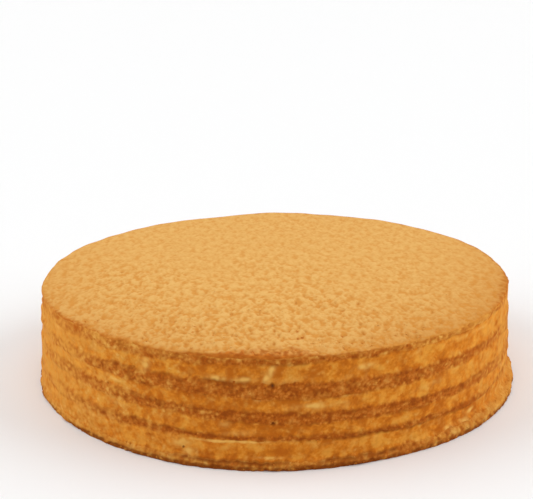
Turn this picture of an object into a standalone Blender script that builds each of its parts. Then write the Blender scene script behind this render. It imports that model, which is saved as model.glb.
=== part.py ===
"""A medovik: a round honey layer cake, whole and uncut.

Five honey sponge rounds and four fillings of cream lie in turn, each running right through
the cake, and a coat of fine crumbs covers the top. Metres, +Z up, with the origin under the
middle of the cake. A turn is an angle about +Z: 0 is the front, which faces -Y, and turns
grow towards the right, +X.
"""

import math
import random

import bmesh
import bpy
from mathutils import Vector, geometry, noise

# The whole cake
TOP_RADIUS = 0.1200
HEIGHT = 0.0505  # to the mean level of the crumbs on the top
GAP = 0.0003  # kept between one piece and the next

# Layers from the bottom up: the name, the heights of the upper face at the left of the front,
# the front and the right of it, and the radii at the left side and the right side.
LAYERS = (
    ("honey_layer_1", (0.0035, 0.0039, 0.0043), (0.1245, 0.1236)),
    ("cream_layer_1", (0.0121, 0.0126, 0.0118), (0.1237, 0.1215)),
    ("honey_layer_2", (0.0160, 0.0150, 0.0142), (0.1232, 0.1216)),
    ("cream_layer_2", (0.0231, 0.0206, 0.0195), (0.1228, 0.1218)),
    ("honey_layer_3", (0.0283, 0.0260, 0.0250), (0.1225, 0.1219)),
    ("cream_layer_3", (0.0334, 0.0313, 0.0325), (0.1222, 0.1216)),
    ("honey_layer_4", (0.0389, 0.0386, 0.0384), (0.1217, 0.1212)),
    ("cream_layer_4", (0.0449, 0.0464, 0.0474), (0.1211, 0.1206)),
    ("honey_layer_5", (0.0493, 0.0495, 0.0496), (0.1206, 0.1202)),
)
HEIGHTS_AT = math.radians(35)  # where the left and right heights of a face are taken
FRONT_SPREAD = 0.0008  # how much further the foot spreads at the front and the back

# The lowest round's bulge: how far it stands out, its turn and its reach to each side
BULGE = 0.0021
BULGE_AT, BULGE_REACH = math.radians(60), math.radians(42)

# The edge of a layer
SEGMENTS = 96
ROUNDING = 0.0005  # how far the edge draws in towards the next layer
ROUNDING_RISE = 0.0009  # the most height that this takes
ROUNDING_SHARE = 0.3  # and the most of the layer's own thickness
CREAM_INSET = 0.0003  # the cream is scraped back a little from the honey rounds
OUTLINE_SWELL = 0.0012  # slow unevenness of a hand-cut round
CAKE_WAVES, LAYER_WAVES = 5, 7  # its waves round the whole cake and round each layer
CAKE_SEED = 50
EDGE_CRUMBLE = 0.0004  # roughness of a crumbly edge
EDGE_ROWS = (  # up the edge: how far each row draws in, and its roughness
    (ROUNDING, EDGE_CRUMBLE / 2),
    (0.0, EDGE_CRUMBLE),
    (0.0, EDGE_CRUMBLE),
    (ROUNDING, EDGE_CRUMBLE / 2),
)
FACE_RIPPLE = 0.0008  # unevenness of the faces between layers, at the edge
FACE_WAVES = 9
FACE_SINK = 0.0010  # how far these faces dish towards the middle

# The crumbs on the top
COAT_LEAST = 0.0005  # least thickness, as at the edge
COAT_OVERHANG = 0.0004
COAT_EDGE_DROP = 0.0003
COAT_EDGE_FROM = 0.94  # where the top starts to drop to its edge, of its radius
COAT_SEED = 77
CLUMP_PITCH = 0.0047
CLUMP_SCATTER = 0.0015
CLUMP_RELIEF = 0.0006
TOP_SWELL = 0.0010  # slow rise and fall of the top
TOP_SWELL_SIZE = 0.045
BACK_RISE = 0.0009  # crumbs heaped at the back edge
BACK_RISE_REACH = 0.0400

# Colours, linear, with the roughness
HONEY_LOOK = ((0.376, 0.102, 0.013, 1.0), 0.95)
CREAM_LOOK = ((0.610, 0.262, 0.045, 1.0), 0.85)
CRUMB_LOOK = ((0.776, 0.413, 0.117, 1.0), 1.0)

TURNS = [2 * math.pi * i / SEGMENTS for i in range(SEGMENTS)]


def outwards(turn):
    """The level direction away from the middle at a turn."""
    return Vector((math.sin(turn), -math.cos(turn), 0.0))


def ripple(turn, waves, seed):
    """Smooth noise round the cake, mostly within -0.6 to 0.6, another for each seed."""
    circle = outwards(turn) * (waves / 4)
    circle.z = 10.0 * seed
    return noise.noise(circle)


def smoothstep(value):
    value = min(max(value, 0.0), 1.0)
    return value * value * (3 - 2 * value)


def face_heights(heights, seed):
    """A face between two layers: its height in the middle, and at the rim for each turn.

    A tilt and three slow waves take it through the heights given for the left, front and right.
    """
    left, front, right = heights
    tilt = (right - left) / (2 * math.sin(HEIGHTS_AT))
    wave = (front - (left + right) / 2) / (1 - math.cos(3 * HEIGHTS_AT))
    level = front - wave
    rim = [
        level
        + tilt * math.sin(turn)
        + wave * math.cos(3 * turn)
        + FACE_RIPPLE * ripple(turn, FACE_WAVES, seed)
        for turn in TURNS
    ]
    return level - FACE_SINK, rim


def turn_between(one, other):
    """The smaller angle between two turns."""
    return abs((one - other + math.pi) % (2 * math.pi) - math.pi)


def layer_radius(turn, height, sides, seed):
    """The outline of one layer at a height, with its own unevenness."""
    left, right = sides
    radius = (left + right) / 2 + (right - left) / 2 * math.sin(turn)
    spread = FRONT_SPREAD * (1 - height / HEIGHT) * math.cos(turn) ** 2
    swell = ripple(turn, CAKE_WAVES, CAKE_SEED) + ripple(turn, LAYER_WAVES, seed) / 2
    return radius + spread + OUTLINE_SWELL * swell


def foot_bulge(turn):
    """How far the lowest round stands out at a turn."""
    return BULGE * smoothstep(1 - turn_between(turn, BULGE_AT) / BULGE_REACH)


def rim_point(turn, radius, height):
    return outwards(turn) * radius + Vector((0.0, 0.0, height))


def add_ring(bm, points):
    return [bm.verts.new(point) for point in points]


def add_band(bm, lower, upper):
    """Joins two rings of the edge by a band of faces."""
    for i in range(SEGMENTS):
        j = (i + 1) % SEGMENTS
        bm.faces.new((lower[i], lower[j], upper[j], upper[i]))


def add_fan(bm, height, ring, faces_up):
    """Closes a ring by triangles to a point in the middle of the face."""
    middle = bm.verts.new((0.0, 0.0, height))
    for i in range(SEGMENTS):
        j = (i + 1) % SEGMENTS
        bm.faces.new((middle, ring[i], ring[j]) if faces_up else (middle, ring[j], ring[i]))


def finish(bm, name, look):
    """Turns a bmesh into a smoothly shaded object with its own material."""
    mesh = bpy.data.meshes.new(name)
    bm.to_mesh(mesh)
    bm.free()
    mesh.shade_smooth()
    mesh.set_sharp_from_angle(angle=math.radians(40))
    colour, roughness = look
    material = bpy.data.materials.new(name)
    material.use_nodes = True
    shader = material.node_tree.nodes["Principled BSDF"]
    shader.inputs["Base Color"].default_value = colour
    shader.inputs["Roughness"].default_value = roughness
    shader.inputs["Metallic"].default_value = 0.0
    mesh.materials.append(material)
    obj = bpy.data.objects.new(name, mesh)
    bpy.context.scene.collection.objects.link(obj)
    return obj


def face_height(face, spot):
    """Height at a spot of a face that runs from its middle to its rim heights."""
    middle, rim = face
    turn = math.atan2(spot.x, -spot.y) % (2 * math.pi)
    place = turn / (2 * math.pi) * SEGMENTS
    i = int(place) % SEGMENTS
    edge = rim[i] + (rim[(i + 1) % SEGMENTS] - rim[i]) * (place - int(place))
    return middle + (edge - middle) * spot.xy.length / TOP_RADIUS


def on_face(points, face, offset):
    """Sets points on a face between two layers, or so far above it."""
    for point in points:
        point.z = face_height(face, point) + offset


def make_layer(name, lower, upper, sides, seed):
    """One honey round or cream filling between its lower face and its upper face.

    The lower face of the lowest layer is None, as it lies flat on what carries the cake.
    """
    draw = random.Random(seed)
    cream = name.startswith("cream")
    inset = CREAM_INSET if cream else 0.0
    rows = [[] for _ in EDGE_ROWS]
    for i, turn in enumerate(TURNS):
        bottom = lower[1][i] + GAP / 2 if lower else 0.0
        top = upper[1][i] - GAP / 2
        rise = min(ROUNDING_RISE, (top - bottom) * ROUNDING_SHARE)
        heights = (bottom, bottom + rise, top - rise, top)
        for row, height, (drawn_in, roughness) in zip(rows, heights, EDGE_ROWS):
            radius = layer_radius(turn, height, sides, seed) - inset - drawn_in
            radius += roughness * draw.uniform(-1, 1)
            if not lower:
                radius += foot_bulge(turn)
            row.append(rim_point(turn, radius, height))
    if lower:
        on_face(rows[0], lower, GAP / 2)
    on_face(rows[-1], upper, -GAP / 2)

    bm = bmesh.new()
    rings = [add_ring(bm, row) for row in rows]
    for below, above in zip(rings, rings[1:]):
        add_band(bm, below, above)
    if lower:
        add_fan(bm, lower[0] + GAP / 2, rings[0], faces_up=False)
    else:
        bm.faces.new(list(reversed(rings[0])))
    add_fan(bm, upper[0] - GAP / 2, rings[-1], faces_up=True)
    return finish(bm, name, CREAM_LOOK if cream else HONEY_LOOK)


def top_height(spot):
    """Height of the crumbs at a spot on the top, without their own relief."""
    from_back = math.hypot(spot.x, spot.y - TOP_RADIUS)
    swell = TOP_SWELL * noise.noise(Vector((spot.x, spot.y, 0.0)) / TOP_SWELL_SIZE)
    heap = BACK_RISE * smoothstep(1 - from_back / BACK_RISE_REACH)
    near_edge = (spot.xy.length / TOP_RADIUS - COAT_EDGE_FROM) / (1 - COAT_EDGE_FROM)
    drop = COAT_EDGE_DROP * smoothstep(near_edge)
    return HEIGHT + swell + heap - drop


def clump_spots(draw, radius):
    """Spots about a clump apart, in a scattered honeycomb inside a circle."""
    spots = []
    row_pitch = CLUMP_PITCH * math.sqrt(3) / 2
    rows = int(radius / row_pitch) + 1
    columns = int(radius / CLUMP_PITCH) + 1
    for row in range(-rows, rows + 1):
        for column in range(-columns, columns + 1):
            x = (column + 0.5 * (row % 2)) * CLUMP_PITCH + draw.uniform(-1, 1) * CLUMP_SCATTER
            y = row * row_pitch + draw.uniform(-1, 1) * CLUMP_SCATTER
            if math.hypot(x, y) < radius:
                spots.append(Vector((x, y, 0.0)))
    return spots


def make_coat(face, sides, seed):
    """The coat of crumbs on the top layer, with that layer's face, outline and seed."""
    draw = random.Random(COAT_SEED)
    foot, rim = [], []
    for turn in TURNS:
        crumble = EDGE_CRUMBLE * draw.uniform(-1, 1)
        radius = layer_radius(turn, HEIGHT, sides, seed) - ROUNDING + COAT_OVERHANG + crumble
        foot.append(rim_point(turn, radius, 0.0))
        rim.append(rim_point(turn, radius - COAT_LEAST, 0.0))
    on_face(foot, face, GAP / 2)
    on_face(rim, face, GAP / 2 + COAT_LEAST)
    for point in rim:
        point.z = max(point.z, top_height(point))

    clumps = clump_spots(draw, TOP_RADIUS - 0.7 * CLUMP_PITCH)
    on_face(clumps, face, GAP / 2 + COAT_LEAST)
    for point in clumps:
        point.z = max(point.z, top_height(point) + CLUMP_RELIEF * draw.uniform(-1, 1))
    surface = rim + clumps
    edges = [(i, (i + 1) % SEGMENTS) for i in range(SEGMENTS)]
    only_inside = 1
    flat = [point.xy for point in surface]
    _, _, triangles, sources, _, _ = geometry.delaunay_2d_cdt(flat, edges, [], only_inside, 1e-7)

    bm = bmesh.new()
    foot_ring = add_ring(bm, foot)
    top = add_ring(bm, surface)
    for triangle in triangles:
        bm.faces.new([top[sources[i][0]] for i in triangle])
    add_band(bm, foot_ring, top[:SEGMENTS])
    add_fan(bm, face[0] + GAP / 2, foot_ring, faces_up=False)
    bmesh.ops.recalc_face_normals(bm, faces=bm.faces)
    return finish(bm, "crumb_coat", CRUMB_LOOK)


def centre_over_origin(pieces):
    """Moves the pieces sideways, all alike, so that their common box is centred on the origin."""
    corners = [Vector(corner) for piece in pieces for corner in piece.bound_box]
    middle_x = (min(c.x for c in corners) + max(c.x for c in corners)) / 2
    middle_y = (min(c.y for c in corners) + max(c.y for c in corners)) / 2
    for piece in pieces:
        piece.location = (-middle_x, -middle_y, 0.0)


def make_cake():
    pieces = []
    lower = None
    for seed, (name, heights, sides) in enumerate(LAYERS, start=1):
        upper = face_heights(heights, seed)
        pieces.append(make_layer(name, lower, upper, sides, seed))
        lower = upper
    pieces.append(make_coat(lower, sides, seed))
    centre_over_origin(pieces)


for old in list(bpy.data.objects):
    bpy.data.objects.remove(old, do_unlink=True)
make_cake()
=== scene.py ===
"""Looks of a whole medovik, a round honey layer cake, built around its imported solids.

A finer mesh on the same form replaces each honey round, each filling of cream and the coat of
crumbs, and crumbs lie on the top and cling to the side. Metres, +Z up. A turn is an angle about
the cake's own axis: 0 is the front, which faces -Y, and turns grow towards the right, +X.
"""

import itertools
import math
import random
import zlib
from typing import NamedTuple

import bpy
import numpy as np
from mathutils import Matrix, Vector, geometry, noise
from mathutils.bvhtree import BVHTree


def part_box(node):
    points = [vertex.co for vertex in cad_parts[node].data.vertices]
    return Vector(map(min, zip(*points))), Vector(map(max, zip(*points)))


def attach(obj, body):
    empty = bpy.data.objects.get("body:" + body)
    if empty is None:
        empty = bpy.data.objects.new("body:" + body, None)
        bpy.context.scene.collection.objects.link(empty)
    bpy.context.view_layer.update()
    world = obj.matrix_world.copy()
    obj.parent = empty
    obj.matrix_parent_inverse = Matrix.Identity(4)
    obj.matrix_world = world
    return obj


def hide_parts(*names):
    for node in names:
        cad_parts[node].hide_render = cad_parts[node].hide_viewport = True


MM = 0.001
FULL_TURN = 2 * math.pi

# The photograph's camera
PHOTO_WIDTH = 533  # pixels
FOCAL_LENGTH = 1000  # pixels
SENSOR_WIDTH = 36.0  # millimetres
CAMERA_PLACE = (0.0001, -0.5051, 0.2084)
CAMERA_DOWN = math.radians(16.213)
CAMERA_TO_RIGHT = math.radians(-0.483)
CAMERA_ROLL = math.radians(-0.569)
CLIP_START = 0.01

# The studio
FLOOR_REACH = 20.0
FLOOR_COLOUR = (0.90, 0.90, 0.90)
FLOOR_ROUGHNESS, FLOOR_SPECULAR = 0.9, 0.1
FLOOR_GAP = 0.0001  # under the cake, so that the two faces aren't one
WORLD_LIGHT = 0.42
SUNS = (  # name, azimuth from the front and elevation in degrees, light, softness in degrees
    ("back_light", 180, 65, 0.45, 60),
    ("front_light", 0, 50, 0.53, 60),
    ("left_light", -95, 25, 1.52, 60),
    ("right_light", 95, 25, 1.70, 60),
)

# The solids of the frame, from the lowest up: five honey rounds with fillings between them
LAYERS = tuple(f"{kind}_layer_{i}" for i in range(1, 6) for kind in ("honey", "cream"))[:-1]
LOWEST, HIGHEST = LAYERS[0], LAYERS[-1]
COAT = "crumb_coat"
FRAME_SEGMENTS = 96  # corners round each solid
EDGE_FROM = 0.1175  # only the corners of a solid's edge lie further out than this
MIDDLE_REACH = 5 * MM  # and only those in the middle of its faces lie nearer the axis

# How fine the meshes are
COLUMNS = 1440
TURNS = np.arange(COLUMNS) * FULL_TURN / COLUMNS
ROW_PITCH = 0.52 * MM
LEAST_ROWS = 4
TOP_PITCH = 0.75 * MM
TOP_JITTER, TOP_FROM_RIM = 0.25, 0.8  # of the pitch
RIM_ROWS = 4
ONE_CORNER = 1e-7  # corners of the top this near each other are one
PROBE_PITCH = 1.5 * MM
PROBE_FROM = 1.0  # how high the rays start
PROBE_SOFTENINGS = 2

# Borders between layers
RAGGED = 0.65 * MM
RAGGED_SIZES = ((7.0 * MM, 1.0), (2.4 * MM, 0.8))  # size of the wander, and its share
BLEND = 1.7 * MM  # how wide honey and cream blend
BLEND_RAGGED, BLEND_SIZE = 0.50, 1.8 * MM
OVERLAP = 0.05 * MM
SEAM_DEPTH = 0.08 * MM
SEAM_REACH = 0.65 * MM
LOWEST_SEAM_DROP = 0.5 * MM  # how far under its border the lowest seam runs
MOST_SEAM = 0.9  # how strong an open seam's painted shade is, beside a hole's 1
CHANCE_SEAM, CHANCE_SEAM_SIZE = 0.25, 22 * MM  # where SEAMS has nothing
CHANCE_SEAM_SWING, CHANCE_SEAM_LEVEL = 2.2, -0.2
SEAM_GAPS, SEAM_GAP_SIZE = 0.9, 3.0 * MM
SEAM_ENDS, RIPE_ENDS = 2.5, 1.5  # the greater, the more sharply a stretch ends

# Open stretches of the seam on top of a layer, darkened with painted shade: from and to in degrees,
# and how open
SEAMS = {
    "honey_layer_1": ((-24, 4, 1.0), (6, 28, 0.8)),
    "cream_layer_1": ((6, 40, 0.55), (36, 58, 0.4)),
    "honey_layer_2": ((9, 30, 0.3), (-34, -14, 0.4)),
    "cream_layer_2": ((-12, -4, 0.3), (22, 34, 0.3)),
    "honey_layer_4": ((-16.5, -3.5, 0.6), (-38, -30, 0.5), (-29, -21, 0.4)),
    "cream_layer_4": ((-6, 11, 0.3), (38, 46, 0.3)),
}

# How thickly crumbs cover the side. In this table and those like it, the first number of each
# pair is a turn in degrees.
CRUMBED = {
    -180: 0.30, -140: 0.60, -100: 0.45, -72: 0.74, -50: 0.60, -30: 0.33, -12: 0.12, 12: 0.10,
    40: 0.16, 58: 0.50, 75: 0.62, 110: 0.35, 150: 0.55, 180: 0.30,
}
CRUMBED_PATCHES = (("patches", 11 * MM, 0.25), ("small patches", 11 * MM / 3, 0.15))
LOWEST_CRUMBED = 0.36  # more on the lowest round
SPILLED, SPILL_REACH = 0.55, 1.1 * MM  # over the edge of the top

# How much more crumbs cover the highest round
HIGHEST_CRUMBED = {
    -180: 0, -66: -0.1, -46: -0.1, -38: 0.1, -24: 0.1, -12: 0, 14: 0, 24: 0.3, 34: 0.45, 48: 0.5,
    54: 0.35, 61: -0.05, 74: -0.1, 100: 0, 180: 0,
}
CRUMBS_ON_EDGE = 0.6  # the share of the side's crumbs that covers the top's bare edge as well

# Streaks of bare cream: turn in degrees, height, length and width in millimetres, slope in degrees
STREAKS = {
    "honey_layer_1": ((43.8, 3.0, 3.4, 2.8, 0), (39.5, 3.4, 4.0, 1.8, 0)),
    "cream_layer_1": (
        (-9.5, 12.2, 36, 1.0, 2),
        (-18.0, 5.8, 4, 2.6, 0),
        (-19.5, 9.5, 8, 3.2, 4),
        (-1.5, 5.4, 10, 0.8, 0),
        (44.0, 4.9, 5, 3.2, -8),
        (38.8, 4.8, 5.5, 2.8, 10),
        (46.8, 7.8, 5, 2.0, 15),
    ),
    "cream_layer_3": ((7.5, 28.2, 10, 2.2, -4), (-36.0, 31.5, 9, 1.6, -8)),
    "cream_layer_4": (
        (-12.3, 39.9, 8, 2.2, 0),
        (-6.8, 39.8, 10, 1.8, 2),
        (-1.6, 42.2, 11, 2.6, 62),
        (18.5, 43.0, 7, 2.4, 0),
        (-28.0, 42.0, 6, 3.6, 70),
    ),
}
SET_STREAK = 1.25  # how bare they are
CHANCE_STREAKS = 22  # more of them all round each filling
CHANCE_STREAK = ((3.0, 14.0), (1.4, 3.0), (-12, 12), (0.2, 0.6))  # length to slope, and how bare
STREAK_INSET = 0.8 * MM  # how far from a border those that run along it lie
STREAK_LEVEL, STREAK_GAPS, STREAK_GAP_SIZE = 0.8, 0.9, 2.0 * MM
CRUMBS_OVER_STREAKS = 0.5  # how much less bare they are where crumbs cover all

# Holes, with painted shade in them: turn in degrees, height and width in millimetres
HOLES = ((-0.9, 37.7, 1.8), (-0.8, 21.2, 1.3), (-19.2, 7.2, 0.8))
HOLE_DEPTH = 0.7 * MM
HOLE_MIDDLE, HOLE_FALL = 1.3, 0.65  # how deep and how shaded it is in the middle, and how much less at its rim
PIT_SIZE, PIT_SHARE = 2.8 * MM, 0.30
PIT_FALL = 1.8  # the greater, the narrower
PIT_DEPTH, PIT_SHADE = 0.6, 0.8  # beside a hole's depth, and the pit's painted shade beside that of hollows between grains
PIT_UNCRUMBED = 0.15  # how deep a pit is where there are no crumbs, beside 1

# Deeper gold stretches of cream: from and to in degrees, and how deep
RIPE = {
    "cream_layer_1": ((-66, -30, 0.6), (-9, 6, 0.6), (26, 60, 0.9)),
    "cream_layer_2": ((-22, 19, 1.3), (24, 42, 0.9)),
    "cream_layer_3": ((-24, 16, 1.8),),
    "cream_layer_4": ((-18, 6, 0.8),),
}
RIPE_ELSEWHERE = 0.2
RIPE_SWING, RIPE_SIZE = 0.8, 7 * MM

# The side's texture grows calmer away from the front, between these turns in degrees
CALM, CALM_FROM, CALM_TO = 0.85, 28.0, 62.0
LIVELY_FOOT = 7 * MM  # up to about this height it stays rough all round

# How strong the painted contact shadow along the foot is
FOOT_SHADOW = {
    -180: 0.7, -66: 0.5, -50: 0.9, -34: 1.2, -10: 1.2, -4: 0.8, 3: 0.9, 8: 1.3, 17: 1.2, 22: 0.6,
    32: 0.7, 48: 0.9, 60: 1.0, 75: 0.9, 180: 0.7,
}
FOOT_SHADOW_REACH = 1.6  # the greater, the higher it reaches
FOOT_SHADOW_SWING, FOOT_SHADOW_SIZE = 1.4, 1.8 * MM

# The inner honey rounds are browner a little under their top
BROWNED_TOP, BROWNED_DEPTH, BROWNED_REACH = 0.22, 0.9 * MM, 1.0 * MM
CRUMBS_OVER_BROWNED = 0.7

# How crumbs cover the side: by how many there are, by their own tones and by chance
COVER_BY_CRUMBS, COVER_BY_TONE, COVER_BY_CHANCE, COVER_LEVEL = 1.1, 0.6, 0.5, -0.05
CREAM_HOLLOW, COVERED_HOLLOW = 0.35, 0.3  # how strong the painted shade in hollows between grains is, beside honey's 1
TONE_PATCHES = 0.5

# Relief of the side
GRAIN_SIZE = 1.35 * MM
CLUMP_SIZE = 3.6 * MM
HONEY_GRAIN, HONEY_CLUMP = 0.19 * MM, 0.06 * MM
HONEY_SWELL, HONEY_SWELL_SIZE = 0.32 * MM, 3.0 * MM
CREAM_GRAIN, CREAM_SWELL = 0.12 * MM, 0.40 * MM
CREAM_SWELL_SIZE = 6.5 * MM
CRUMB_GRAIN, CRUMB_GRAIN_SIZE = 0.10 * MM, 1.9 * MM
CRUMB_MEAN = 0.4  # the mean height of those grains, from 0 to 1
STREAK_RISE, STREAK_SMOOTH = 0.20 * MM, 0.6
FOOT_SPREAD, FOOT_REACH = 0.40 * MM, 1.8 * MM

# Relief of the top
TOP_DRAWN_OUT = 1.2  # how much further the top's is drawn out from the front to the back
TOP_RISE = 0.10 * MM  # of the loose crumbs' mean height over the solid
TOP_WAVES = (  # theme, size, relief, and shares in what is low and in the tone
    ("top bumps", 1.4 * MM, 0.70 * MM, 0.7, 1.2),
    ("top grains", 0.9 * MM, 0.10 * MM, 0.3, 1.0),
    ("top clumps", 3.2 * MM, 0.85 * MM, 0.9, 1.2),
)
TOP_LOW_FROM, TOP_LOW_TO = -0.14, -0.62  # places this low get orange painted shade, from least to most
TOP_LOW_SHADE = 0.85  # how strong that painted shade is, beside a pit's 1
TOP_PIT_DEPTH, TOP_PIT_SIZE, TOP_PIT_SHARE = 0.95 * MM, 1.8 * MM, 0.36
LEAST_ROUGH, MOST_ROUGH = 0.12, 0.86
TOP_ROUGH = 0.23  # how rough the middle is, from 0 to 1
TOP_ROUGH_SLOPE = (-0.5, -6.0)  # rougher towards the left and the front
ROUGH_PATCH, ROUGH_PATCH_SIZE = 0.25, 28 * MM
SMOOTH_HOLLOW, SMOOTH_TONE = 0.15, 0.25  # what smooth places keep of the painted shade in hollows and of tones
SHOULDER = 1.6 * MM  # how far in the top's edge is rounded
RIM_RELIEF = 0.4  # what the relief keeps at the rim
RIM_CRUMBLE, RIM_GRAIN_SIZE = 0.30 * MM, 2.0 * MM

# How wide the brown sponge shows through along the top's edge, in millimetres
BARE = {
    -180: 2, -100: 0.8, -80: 0.8, -62: 1.6, -52: 2.5, -30: 2.4, -16: 3, -10: 4.5, -5: 8, 0: 13,
    4: 12, 8: 7, 12: 3, 44: 2.2, 52: 2.2, 64: 5, 76: 6, 90: 3, 180: 2,
}
BARE_FULLY = 2.2 * MM  # the edge is less brown where the sponge shows less widely than this
BARE_RAGGED, BARE_RAGGED_SIZE = 0.5, 1.8 * MM
RIM_DROP = 1.2 * MM  # how far below the rim the crumbs would end

# How much of it shows right at the rim
BARE_SHARE = {
    -180: 0.5, -70: 0.45, -54: 0.7, -34: 0.6, -27: 0.2, -20: 0.1, -16: 0.4, -11: 0.85, -5: 0.9,
    4: 0.85, 8: 0.4, 12: 0.1, 44: 0.2, 62: 0.6, 180: 0.5,
}

# How much darker and deeper the crumbs' colour is near the top's edge: most at the front and the
# sides, almost none at the back
RIM_DARKENING = {
    -180: 0.02, -120: 0.05, -90: 0.24, -60: 0.30, -35: 0.40, -12: 0.27, 8: 0.27, 32: 0.54,
    75: 0.54, 95: 0.30, 125: 0.05, 180: 0.02,
}
RIM_DARKENING_REACH = 26 * MM

# Crumbs: how many, the least and greatest size, how finely each is made
SIDE_CRUMBS = {
    "side_specks": (6000, 0.50 * MM, 1.05 * MM, 1),
    "side_crumbs": (1100, 1.00 * MM, 1.60 * MM, 2),
}
TOP_CRUMBS = {
    "top_crumbs": (4500, 0.80 * MM, 1.60 * MM, 2),
    "top_clumps": (500, 1.60 * MM, 2.40 * MM, 2),
}
CRUMB_LUMPS = (0.72, 1.18)  # least and greatest share of the radius at a corner
CRUMB_STRETCH = (0.75, 1.25)
CRUMB_REACH = CRUMB_LUMPS[1] * CRUMB_STRETCH[1] / 2  # how far a corner can lie from the middle
TOP_LIFT = (-0.45, -0.22)  # how far out a crumb's middle lies, in its own size
SIDE_LIFT = (-0.45, -0.15)
CRUMB_SUNK = 0.25  # by how much less where the ground is smooth
TOP_FOOT_SHADE, SIDE_FOOT_SHADE = 1.0, 0.3  # how strong the painted shade is towards a crumb's foot
FOOT_SHADE_MIDDLE, FOOT_SHADE_FALL = 0.6, 0.8  # how shaded it is in its middle, and how much less on top
CRUMBS_DARKENED = 0.6  # how much a crumb takes of the painted shade of the ground it lies on
CRUMB_TONES = 0.07

# How likely a crumb lies at a point
CROWDING, CROWDING_SWING, CROWDING_SIZE, LEAST_CROWDING = 0.45, 0.6, 20 * MM, 0.05
FEWER_WHERE_BARE, FEWER_IN_HOLLOWS = 0.5, 0.9
ON_SIDE, MORE_ON_CRUMBS, MORE_ON_HONEY = 0.15, 0.45, 0.5
ON_CALM = 0.4  # beside 1 where the side is rough
FOOT_CRUMBS_REACH = 2.0 * MM

# Colours, linear
CRUMB_PALE = (0.765, 0.445, 0.138)
CRUMB_GOLD = (0.725, 0.390, 0.110)
CRUMB_DARK = (0.68, 0.325, 0.076)
CRUMB_RIM_DARKER = (0.54, 0.19, 0.022)
# Orange painted shade for the top's low places and pits, and for the feet of crumbs on it
CRUMB_HOLLOW_SHADE = (0.65, 0.262, 0.040)
RIM_PALE = (0.56, 0.165, 0.019)
RIM_BROWN = (0.38, 0.088, 0.008)
SIDE_PALE = (0.71, 0.36, 0.076)
SIDE_GOLD = (0.66, 0.285, 0.044)
SIDE_BROWN = (0.59, 0.215, 0.027)
HONEY_LIGHT = (0.60, 0.200, 0.027)
HONEY_BROWN = (0.45, 0.110, 0.009)
HONEY_DARK = (0.29, 0.065, 0.006)
CREAM_LIGHT = (0.745, 0.315, 0.041)
CREAM_GOLD = (0.645, 0.205, 0.016)
CREAM_DEEP = (0.49, 0.130, 0.009)
BARE_CREAM = (0.80, 0.45, 0.105)
# Painted shade: the first for open seams and the foot's contact shadow, the second for holes
SEAM_SHADE = (0.20, 0.043, 0.004)
HOLE_SHADE = (0.12, 0.042, 0.012)
SPECULAR = 0.05
CRUMB_ROUGHNESS, SIDE_ROUGHNESS = 0.95, 0.90

# Ramps: at which value each colour stands
CRUMB_RAMP = ((0.10, CRUMB_DARK), (0.50, CRUMB_GOLD), (0.90, CRUMB_PALE))
RIM_RAMP = ((0.20, RIM_BROWN), (0.85, RIM_PALE))
SIDE_RAMP = ((0.12, SIDE_BROWN), (0.50, SIDE_GOLD), (0.90, SIDE_PALE))
HONEY_RAMP = ((0.12, HONEY_DARK), (0.50, HONEY_BROWN), (0.90, HONEY_LIGHT))
CREAM_RAMP = ((0.36, CREAM_DEEP), (0.55, CREAM_GOLD), (0.73, CREAM_LIGHT))
# The painted shade of open seams and the foot's contact shadow, and of holes at 1
SHADE_RAMP = ((MOST_SEAM, SEAM_SHADE), (1.0, HOLE_SHADE))

# Fine texture of the materials
CRUMB_UNEVEN, SIDE_UNEVEN = (1.5 * MM, 0.09), (1.0 * MM, 0.18)  # size, and swing of the tone
MOTTLE_SIZE, MOTTLE_DETAIL = 4.5 * MM, 2.6  # of the cream
MOTTLE_BY_TONE, MOTTLE_BY_RIPE = 0.22, 0.20
TOP_HOLLOW, SIDE_HOLLOW = 0.85, 0.45  # how strongly hollows take their painted shade
TEXTURE_SPAN = (0.3, 0.7)
BUMP_SIZE, CRUMB_BUMP, SIDE_BUMP, SIDE_BUMP_DETAIL = 0.6 * MM, 0.03 * MM, 0.06 * MM, 3.0

# The maps laid over the pieces' faces
MAP_MARGIN = 0.01
MOST_STRIPS = 36
STRIP_MARGIN, CAP_REACH = 0.04, 0.45  # of a strip's height
CELL_MARGIN = 0.06  # of a crumb's cell
RIM_ON_MAP = 1.5 * MM  # how wide the coat's edge lies round its top
UNDERSIDE_ON_MAP, UNDERSIDE_REACH = (0.07, 0.07), 0.06

NOISE_STEP = 7.3  # keeps noise of different themes apart
DRAWN_OUT = (1.0, 1.6, 1.0)  # noise is drawn out from the front to the back
GRAIN_GAP = 0.6  # the squared share of a grain's size at which it ends
GRAIN_SOFTNESS = 2.5  # the greater, the sharper a grain's tone ends at its edge

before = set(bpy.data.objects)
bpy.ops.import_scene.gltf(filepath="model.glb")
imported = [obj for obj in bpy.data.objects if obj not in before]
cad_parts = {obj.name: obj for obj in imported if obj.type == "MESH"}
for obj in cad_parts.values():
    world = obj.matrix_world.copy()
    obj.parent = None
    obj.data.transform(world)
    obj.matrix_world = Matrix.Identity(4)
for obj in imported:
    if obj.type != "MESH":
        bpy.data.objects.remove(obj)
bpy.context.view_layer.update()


class Border(NamedTuple):
    """The upper border of a layer at each column: its height, its seam's and how open that is."""

    heights: np.ndarray
    seam_heights: np.ndarray
    openness: np.ndarray


class Ground(NamedTuple):
    """Points of a piece that crumbs lie on, the way out of it there, and its values there."""

    points: np.ndarray
    outward: np.ndarray
    values: dict


def seed_of(theme):
    return zlib.crc32(theme.encode())


def smoothstep(values):
    values = np.clip(values, 0.0, 1.0)
    return values * values * (3 - 2 * values)


def near(distance, reach):
    return np.exp(-((distance / reach) ** 2))


def at_least(least, share):
    """Takes a share from 0 to 1 to the span from least to 1."""
    return least + (1 - least) * share


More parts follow.
